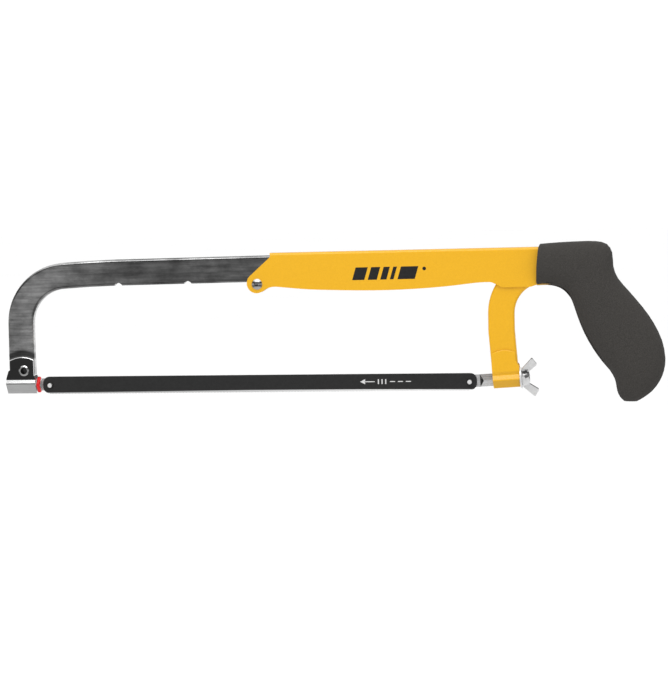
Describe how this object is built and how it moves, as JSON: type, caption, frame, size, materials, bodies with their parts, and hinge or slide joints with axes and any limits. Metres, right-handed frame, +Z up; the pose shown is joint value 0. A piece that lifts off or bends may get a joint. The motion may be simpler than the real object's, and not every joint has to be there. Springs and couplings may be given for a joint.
{
  "type": "adjustable hacksaw",
  "caption": "Adjustable hacksaw: bent chrome tube sliding in a yellow steel channel, pinned fine-tooth blade, wing nut tensioner and foam pistol grip.",
  "frame": {"origin": "on the line through the tooth tips, midway between the two blade pins, in the middle plane of the frame", "axes": "+X along the blade from the front stud towards the handle, +Y away from the side that carries the blade, +Z up from the teeth to the back of the frame"},
  "size_m": [0.468, 0.0316, 0.112],
  "materials": {
    "chrome_frame": "bright chrome plate",
    "zinc_hardware": "bright zinc plate",
    "stud_steel": "zinc plated bar",
    "rivet_steel": "polished",
    "red_rubber": "satin",
    "blade_black": "black lacquer, bare tooth line",
    "yellow_paint": "gloss enamel",
    "core_plastic": "matt",
    "grip_foam": "fine matt foam"
  },
  "bodies": {
    "rear_frame": {"rear_channel": "yellow_paint", "notch_rivet": "rivet_steel", "rear_leg": "yellow_paint", "rear_socket": "yellow_paint", "tension_washer": "zinc_hardware", "grip_core": "core_plastic", "grip_skin": "grip_foam"},
    "front_frame": {"front_frame_tube": "chrome_frame", "front_socket": "chrome_frame", "front_socket_rivet": "rivet_steel", "front_blade_stud": "stud_steel", "front_blade_pin": "rivet_steel", "stud_ring": "red_rubber"},
    "blade": {"saw_blade": "blade_black"},
    "bolt": {"tension_bolt": "stud_steel", "rear_blade_pin": "rivet_steel"},
    "nut": {"wing_nut": "zinc_hardware"}
  },
  "joints": [
    {"name": "frame_length", "type": "slide", "parent": "rear_frame", "child": "front_frame", "axis": [0.9999, 0, 0.0108], "range_m": [0, 0.1]},
    {"name": "blade_lift_off", "type": "slide", "parent": "rear_frame", "child": "blade", "axis": [0, -1, 0], "range_m": [0, 0.08]},
    {"name": "tension_bolt_draw", "type": "slide", "parent": "rear_frame", "child": "bolt", "axis": [-0.9983, 0, -0.0576], "range_m": [0, 0.0005]},
    {"name": "wing_nut_spin", "type": "hinge", "parent": "rear_frame", "child": "nut", "pos_m": [0.19, 0, 0.00902], "axis": [0.9983, 0, 0.0576], "range_deg": [0, 180.01]}
  ],
  "couplings": [
    {"joint": "blade_lift_off", "follows": "frame_length", "ratio": 0.8},
    {"joint": "wing_nut_spin", "follows": "tension_bolt_draw", "rad_per_m": 6283.2}
  ]
}
